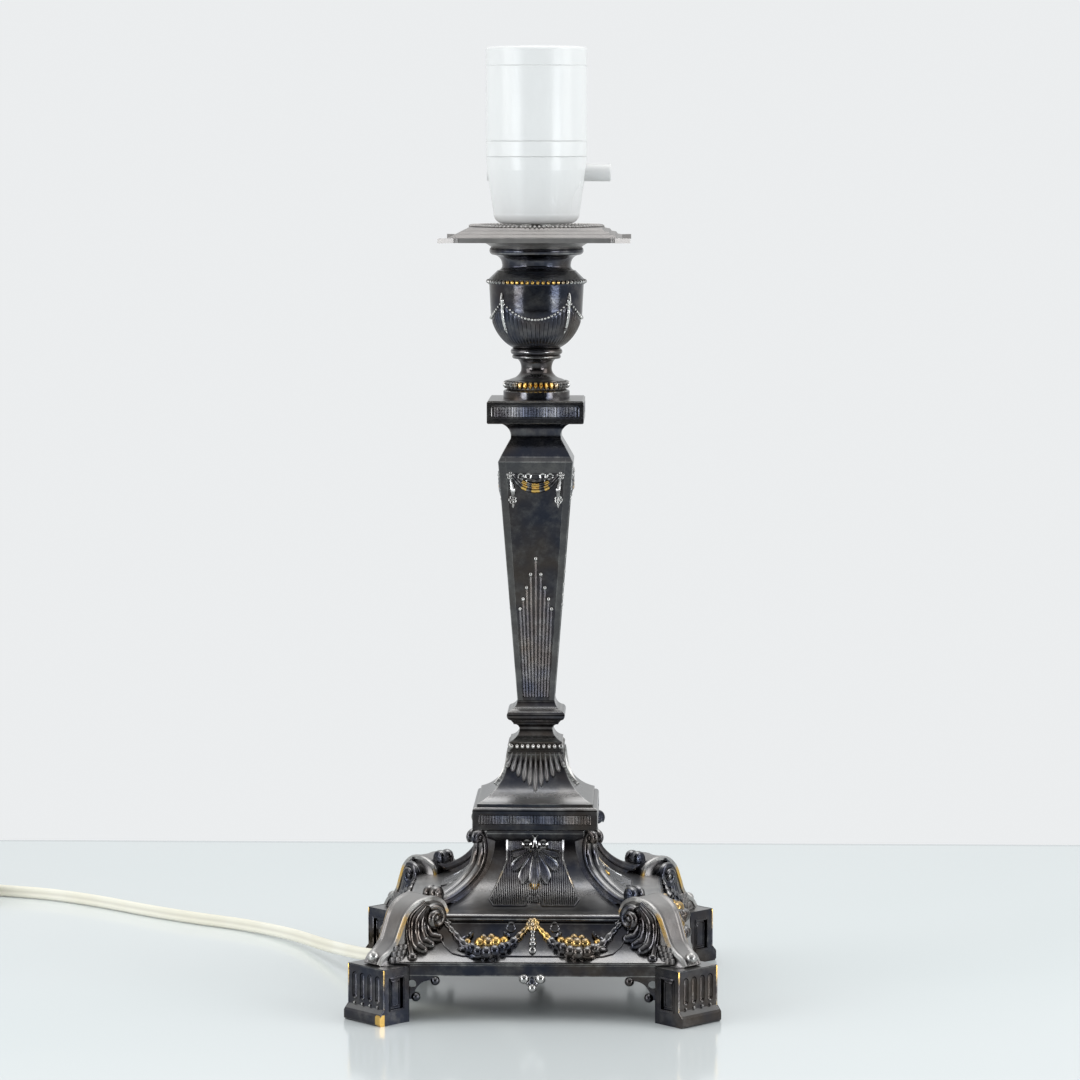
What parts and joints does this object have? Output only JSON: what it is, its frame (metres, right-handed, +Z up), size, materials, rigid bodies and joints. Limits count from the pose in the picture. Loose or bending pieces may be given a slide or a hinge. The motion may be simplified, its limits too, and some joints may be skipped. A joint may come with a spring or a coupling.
{
  "type": "candlestick lamp",
  "caption": "Square classical candlestick fitted as a table lamp: ornamented stepped foot, tapered stem, urn and drip pan under a screw lampholder with a push-through switch and a flat cord.",
  "frame": {"origin": "on the table, in the middle of the four feet, on the stem's axis", "axes": "+Z up along the stem, -Y towards the front face, +X to the side where the switch rod stands out at rest"},
  "size_m": [0.4375, 0.3261, 0.3801],
  "materials": {
    "silver_plate": "tarnished silver plate over brass, rubbed back to brass on the raised edges",
    "pan_silver": "silver plate, lightly tarnished",
    "plated_steel": "zinc plated",
    "ivory_plastic": "moulded",
    "white_plastic": "smooth satin",
    "black_insulator": "unglazed",
    "contact_brass": "stamped",
    "socket_metal": "rolled thread",
    "grey_plastic": "satin",
    "cord_sheath": "smooth flexible sheath",
    "core_sheath": "thin core insulation",
    "plug_plastic": "moulded, fine texture",
    "pin_metal": "nickel plated"
  },
  "bodies": {
    "lamp": {"acanthus_leaves": "silver_plate", "base_garlands": "silver_plate", "base_shell": "silver_plate", "bead_collar": "silver_plate", "bottom_nut": "plated_steel", "capital": "silver_plate", "capital_block": "silver_plate", "centre_contact": "contact_brass", "clamp_plate": "plated_steel", "cord_coil": "cord_sheath", "cord_free": "cord_sheath", "cord_in_tube": "cord_sheath", "corner_brackets": "silver_plate", "drip_pan": "pan_silver", "foot_front_left": "silver_plate", "foot_front_right": "silver_plate", "foot_rear_left": "silver_plate", "foot_rear_right": "silver_plate", "grub_screw": "plated_steel", "holder_jacket": "white_plastic", "holder_lower_shell": "white_plastic", "holder_ring": "white_plastic", "insulating_insert": "black_insulator", "knee_front_left": "silver_plate", "knee_front_right": "silver_plate", "knee_rear_left": "silver_plate", "knee_rear_right": "silver_plate", "lead_cores": "core_sheath", "palmettes": "silver_plate", "pan_bead_ring": "pan_silver", "pan_lock_nut": "plated_steel", "pedestal_block": "silver_plate", "pedestal_roof": "silver_plate", "plug_body": "plug_plastic", "plug_pins": "pin_metal", "roof_fans": "silver_plate", "scroll_front_left": "silver_plate", "scroll_front_right": "silver_plate", "scroll_rear_left": "silver_plate", "scroll_rear_right": "silver_plate", "shaft": "silver_plate", "shaft_foot": "silver_plate", "shaft_garlands": "silver_plate", "shaft_reeds": "silver_plate", "side_contact": "contact_brass", "stem_neck": "silver_plate", "switch_contact": "contact_brass", "terminal_screws": "contact_brass", "thread_shell": "socket_metal", "threaded_tube": "plated_steel", "trefoil_drops": "silver_plate", "tube_bush": "ivory_plastic", "urn_bead_ring": "silver_plate", "urn_body": "silver_plate", "urn_collar": "silver_plate", "urn_foot": "silver_plate", "urn_knop": "silver_plate", "urn_swags": "silver_plate"},
    "switch": {"switch_rod": "grey_plastic"}
  },
  "joints": [
    {"name": "switch_push", "type": "slide", "parent": "lamp", "child": "switch", "axis": [1, 0, 0], "range_m": [-0.009, 0]}
  ]
}
